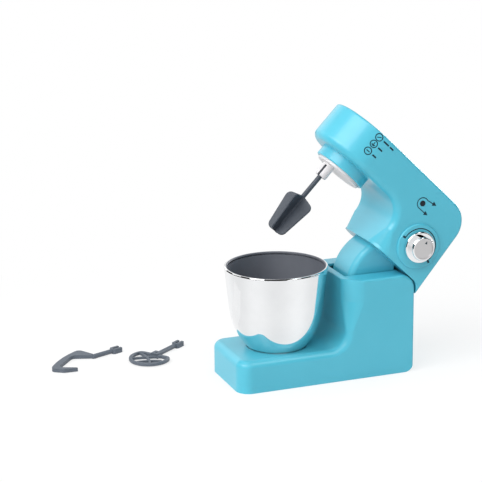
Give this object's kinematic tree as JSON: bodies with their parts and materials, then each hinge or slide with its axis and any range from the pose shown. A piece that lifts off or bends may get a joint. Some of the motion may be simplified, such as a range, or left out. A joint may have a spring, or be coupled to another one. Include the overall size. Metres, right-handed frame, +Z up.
{
  "type": "toy stand mixer",
  "caption": "Toy stand mixer with a tilting head, a planetary drive behind a beater socket, a speed knob, a lift-out bowl and loose mixing tools.",
  "frame": {"origin": "on the floor, under the middle of the base's length and width", "axes": "+Z up, +X towards the column end, -Y towards the side with the speed knob"},
  "size_m": [0.3986, 0.1947, 0.2746],
  "materials": {
    "turquoise_shell": "gloss",
    "inner_plastic": "matte",
    "white_plastic": "satin",
    "gear_plastic": "satin",
    "brass": "satin",
    "contact_steel": "plated",
    "screw_steel": "zinc plated",
    "motor_can": "satin",
    "cells": "satin sleeve",
    "board": "satin",
    "dark_plastic": "matte",
    "dark_lens": "gloss",
    "lead_cover": "matte",
    "washer_rubber": "matte",
    "chromed_plastic": "bright chrome plating on plastic",
    "bowl_grey": "matte",
    "slate_plastic": "matte"
  },
  "bodies": {
    "base": {"base_housing": "turquoise_shell", "base_plate": "turquoise_shell", "base_screws": "screw_steel", "battery_tray": "inner_plastic", "batteries": "cells", "battery_contacts": "contact_steel", "battery_door": "turquoise_shell", "battery_door_screw": "screw_steel", "hinge_pin": "screw_steel", "hinge_sleeve": "inner_plastic", "base_lead": "lead_cover"},
    "head": {"head_shell_near": "turquoise_shell", "head_shell_far": "turquoise_shell", "head_screws": "screw_steel", "neck_arm": "turquoise_shell", "neck_screws": "screw_steel", "friction_washers": "washer_rubber", "spindle_collar": "turquoise_shell", "ring_gear": "gear_plastic", "gear_plate": "inner_plastic", "gear_plate_screws": "screw_steel", "compound_axle": "screw_steel", "motor_bracket": "inner_plastic", "motor_screws": "screw_steel", "motor": "motor_can", "control_board": "board", "board_screws": "screw_steel", "speed_switch": "dark_plastic", "indicator_lens": "dark_lens", "indicator_led": "dark_lens", "head_lead": "lead_cover"},
    "knob": {"speed_knob": "chromed_plastic", "knob_spindle": "inner_plastic"},
    "carrier": {"planet_carrier": "white_plastic", "carrier_gear": "gear_plastic", "carrier_clip": "contact_steel"},
    "planet": {"tool_hub": "white_plastic", "planet_gear": "gear_plastic"},
    "compound": {"compound_gear": "gear_plastic"},
    "pinion": {"motor_shaft": "screw_steel", "motor_pinion": "brass"},
    "paddle": {"paddle_beater": "slate_plastic"},
    "bowl": {"bowl_shell": "chromed_plastic", "bowl_liner": "bowl_grey"},
    "hook": {"dough_hook": "slate_plastic"},
    "whisk": {"wire_beater": "slate_plastic"}
  },
  "joints": [
    {"name": "head_tilt", "type": "hinge", "parent": "base", "child": "head", "pos_m": [0.08, 0, 0.089], "axis": [0, 1, 0], "range_deg": [-44, 0]},
    {"name": "knob_turn", "type": "hinge", "parent": "head", "child": "knob", "pos_m": [0.09762, -0.05, 0.13315], "axis": [0, 1, 0], "range_deg": [-70, 110]},
    {"name": "carrier_spin", "type": "hinge", "parent": "head", "child": "carrier", "pos_m": [0.03677, 0, 0.21554], "axis": [0.6947, 0, 0.7193], "continuous": true},
    {"name": "planet_spin", "type": "hinge", "parent": "carrier", "child": "planet", "pos_m": [0.02119, 0, 0.21669], "axis": [0.6947, 0, 0.7193], "continuous": true},
    {"name": "compound_spin", "type": "hinge", "parent": "head", "child": "compound", "pos_m": [0.06589, 0, 0.20827], "axis": [0.6947, 0, 0.7193], "continuous": true},
    {"name": "pinion_spin", "type": "hinge", "parent": "head", "child": "pinion", "pos_m": [0.08239, 0, 0.19512], "axis": [0.6947, 0, 0.7193], "continuous": true},
    {"name": "tool_pull", "type": "slide", "parent": "planet", "child": "paddle", "axis": [-0.6947, 0, -0.7193], "range_m": [0, 0.006]},
    {"name": "bowl_lift", "type": "slide", "parent": "base", "child": "bowl", "axis": [0, 0, 1], "range_m": [0, 0.008]},
    {"name": "hook_lift", "type": "slide", "parent": "base", "child": "hook", "axis": [0, 0, 1], "range_m": [0, 0.05]},
    {"name": "whisk_lift", "type": "slide", "parent": "base", "child": "whisk", "axis": [0, 0, 1], "range_m": [0, 0.05]}
  ],
  "couplings": [
    {"joint": "planet_spin", "follows": "carrier_spin", "ratio": -3},
    {"joint": "compound_spin", "follows": "carrier_spin", "ratio": -3.3333},
    {"joint": "pinion_spin", "follows": "carrier_spin", "ratio": 10.667}
  ]
}
